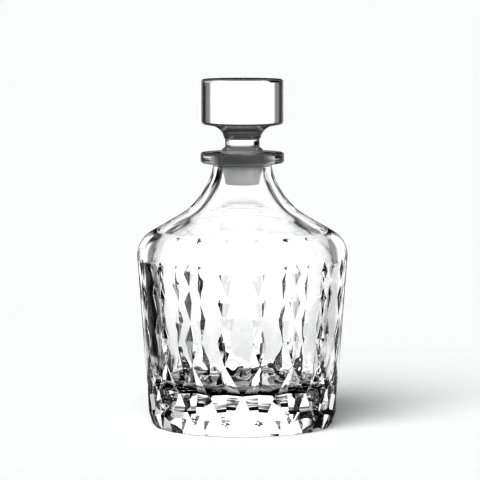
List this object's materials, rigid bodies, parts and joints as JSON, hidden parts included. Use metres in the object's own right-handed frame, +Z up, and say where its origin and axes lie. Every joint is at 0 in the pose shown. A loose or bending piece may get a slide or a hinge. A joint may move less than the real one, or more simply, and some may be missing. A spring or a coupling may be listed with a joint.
{
  "type": "cut crystal decanter",
  "caption": "Stoppered glass decanter: wheel-cut vessel with a flat lip, a solid drum-headed glass stopper and its sealing sleeve, which lift straight out.",
  "frame": {"origin": "middle of the resting face, on the vessel's axis", "axes": "+Z up along the axis of the vessel and the stopper; -Y is the front, a plain panel between two columns of cuts"},
  "size_m": [0.125, 0.125, 0.2057],
  "materials": {
    "crystal": "cut and polished clear crystal",
    "stopper_glass": "polished clear crystal",
    "seal_polymer": "translucent, satin"
  },
  "bodies": {
    "bottle": {"vessel": "crystal"},
    "seal": {"seal_sleeve": "seal_polymer"},
    "stopper": {"stopper": "stopper_glass"}
  },
  "joints": [
    {"name": "stopper_lift", "type": "slide", "parent": "bottle", "child": "seal", "axis": [0, 0, 1], "range_m": [0, 0.05]},
    {"name": "stopper_twist", "type": "hinge", "parent": "seal", "child": "stopper", "pos_m": [0, 0, 0.155], "axis": [0, 0, 1], "continuous": true}
  ]
}
